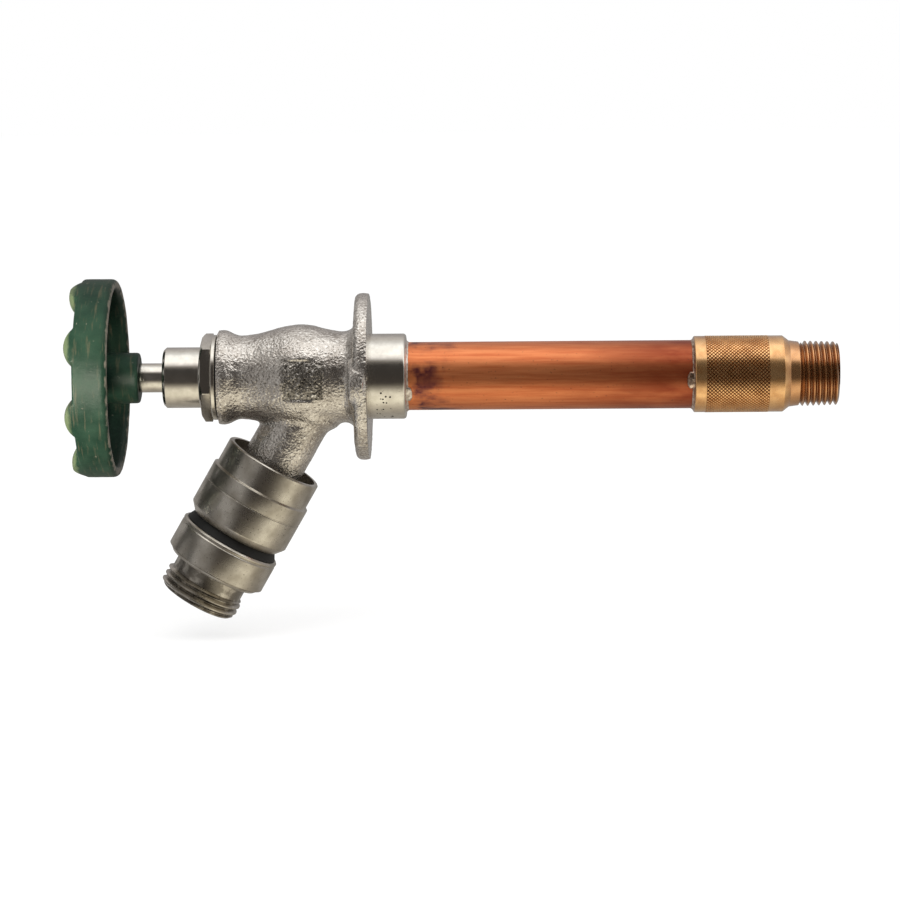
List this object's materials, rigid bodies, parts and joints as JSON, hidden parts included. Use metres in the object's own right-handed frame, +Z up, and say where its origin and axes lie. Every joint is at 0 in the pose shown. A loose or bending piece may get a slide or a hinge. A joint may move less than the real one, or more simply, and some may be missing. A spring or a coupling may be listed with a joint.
{
  "type": "frost-free wall sillcock",
  "caption": "Outdoor wall tap with a handwheel, a long copper tube that keeps the valve seat inside the warm wall, and a hose outlet with a dual-check backflow preventer.",
  "frame": {"origin": "the centre of the flange face that meets the wall, on the tube's axis", "axes": "+X runs along the tube into the wall towards the inlet, -X is the handwheel's side, +Z is up, and the outlet points down and towards -X"},
  "size_m": [0.2486, 0.0648, 0.112],
  "materials": {
    "cast_nickel": "nickel-plated sand casting",
    "polished_nickel": "polished nickel plate",
    "satin_nickel": "satin nickel plate",
    "copper": "bare drawn copper",
    "brass": "machined brass",
    "solder": "dull solder",
    "braze": "braze",
    "green_paint": "satin green paint",
    "bright_disc": "plain disc",
    "steel": "bright steel",
    "black_rubber": "moulded rubber",
    "white_plastic": "moulded plastic"
  },
  "bodies": {
    "body": {"valve_body": "cast_nickel", "copper_tube": "copper", "inlet_fitting": "brass", "front_solder_ring": "solder", "rear_solder_ring": "braze", "bonnet": "polished_nickel", "bonnet_gasket": "black_rubber", "stem_packing": "black_rubber", "packing_washer": "brass", "packing_clip": "steel", "breaker_body": "satin_nickel", "breaker_gasket": "black_rubber", "breaker_set_screw": "steel", "sleeve_clip": "steel", "drain_spring": "steel"},
    "washer_carrier": {"washer_holder": "brass", "seat_washer": "black_rubber", "seat_screw": "brass"},
    "stem_and_wheel": {"stem_rod": "polished_nickel", "stem_guide": "white_plastic", "handwheel": "green_paint", "handle_disc": "bright_disc", "handle_screw": "steel"},
    "drain_sleeve": {"drain_sleeve": "satin_nickel", "vent_seal": "black_rubber", "first_check_guide": "white_plastic", "first_check_spring": "steel", "second_check_guide": "white_plastic", "second_check_spring": "steel", "guide_clip": "steel"},
    "first_check": {"first_check": "white_plastic", "first_check_face": "black_rubber"},
    "second_check": {"second_check": "white_plastic", "second_check_face": "black_rubber"}
  },
  "joints": [
    {"name": "stem_lift", "type": "slide", "parent": "body", "child": "washer_carrier", "axis": [-1, 0, 0], "range_m": [0, 0.0075]},
    {"name": "handwheel_turn", "type": "hinge", "parent": "washer_carrier", "child": "stem_and_wheel", "pos_m": [0, 0, 0], "axis": [-1, 0, 0], "range_deg": [0, 900]},
    {"name": "drain_pull", "type": "slide", "parent": "body", "child": "drain_sleeve", "axis": [-0.5, 0, -0.866], "range_m": [0, 0.0016], "stiffness_N_per_m": 1500, "springref_m": -0.002, "deforming": ["drain_spring"]},
    {"name": "first_check_lift", "type": "slide", "parent": "body", "child": "first_check", "axis": [-0.5, 0, -0.866], "range_m": [0, 0.0025], "stiffness_N_per_m": 200, "springref_m": -0.002, "deforming": ["first_check_spring"]},
    {"name": "second_check_lift", "type": "slide", "parent": "drain_sleeve", "child": "second_check", "axis": [-0.5, 0, -0.866], "range_m": [0, 0.0025], "stiffness_N_per_m": 200, "springref_m": -0.002, "deforming": ["second_check_spring"]}
  ],
  "couplings": [
    {"joint": "stem_lift", "follows": "handwheel_turn", "m_per_rad": 0.00047746}
  ]
}
